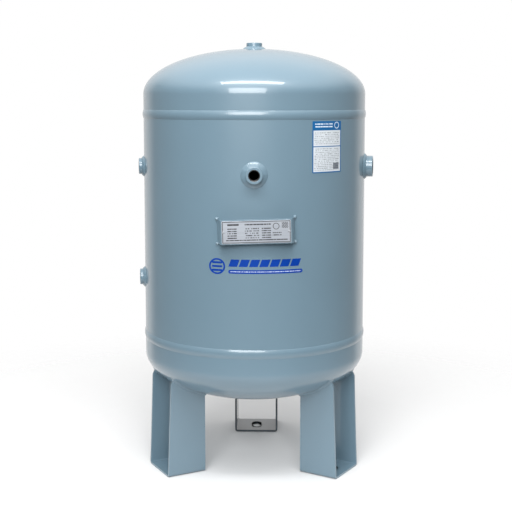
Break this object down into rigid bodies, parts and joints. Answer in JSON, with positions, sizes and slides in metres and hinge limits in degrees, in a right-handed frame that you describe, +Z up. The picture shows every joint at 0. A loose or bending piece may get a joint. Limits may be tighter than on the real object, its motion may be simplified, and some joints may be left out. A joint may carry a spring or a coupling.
{
  "type": "vertical air receiver tank",
  "caption": "Upright steel air receiver: welded cylindrical shell with dished heads, screwed sockets, riveted nameplate, printed label and decal, and folded U legs with slotted feet.",
  "frame": {"origin": "on the tank's vertical axis at floor level, in the middle of the three feet", "axes": "+Z up along the tank's axis, -Y towards the front (the nameplate and the front socket), +X to the right of someone facing the front"},
  "size_m": [0.4775, 0.4684, 0.857],
  "materials": {
    "shell_paint": "gloss light blue-grey enamel over steel",
    "leg_paint": "the same enamel, a little duller on folded flat bar",
    "socket_paint": "enamel outside, bare cut thread inside",
    "weld_paint": "enamel over a rippled weld bead",
    "bracket_paint": "enamel over thin sheet",
    "nameplate_aluminium": "brushed anodised sheet with printed rows",
    "rivet_aluminium": "bare, lightly polished",
    "label_film": "printed white vinyl with a blue border",
    "decal_film": "cut royal blue vinyl",
    "bare_steel": "unpainted mill finish, inside the tank"
  },
  "bodies": {
    "root": {"bottom_backing_ring": "bare_steel", "bottom_head": "shell_paint", "bottom_seam_weld": "weld_paint", "drain_port": "socket_paint", "drain_port_weld": "weld_paint", "front_decal": "decal_film", "front_left_leg": "leg_paint", "front_left_leg_weld": "weld_paint", "front_port": "socket_paint", "front_port_weld": "weld_paint", "front_right_leg": "leg_paint", "front_right_leg_weld": "weld_paint", "instruction_label": "label_film", "left_lower_port": "socket_paint", "left_lower_port_weld": "weld_paint", "left_upper_port": "socket_paint", "left_upper_port_weld": "weld_paint", "nameplate": "nameplate_aluminium", "nameplate_bracket": "bracket_paint", "nameplate_bracket_welds": "weld_paint", "nameplate_rivets": "rivet_aluminium", "rear_leg": "leg_paint", "rear_leg_weld": "weld_paint", "right_port": "socket_paint", "right_port_weld": "weld_paint", "shell": "shell_paint", "shell_seam_weld": "weld_paint", "top_backing_ring": "bare_steel", "top_head": "shell_paint", "top_port": "socket_paint", "top_port_weld": "weld_paint", "top_seam_weld": "weld_paint"}
  },
  "joints": []
}
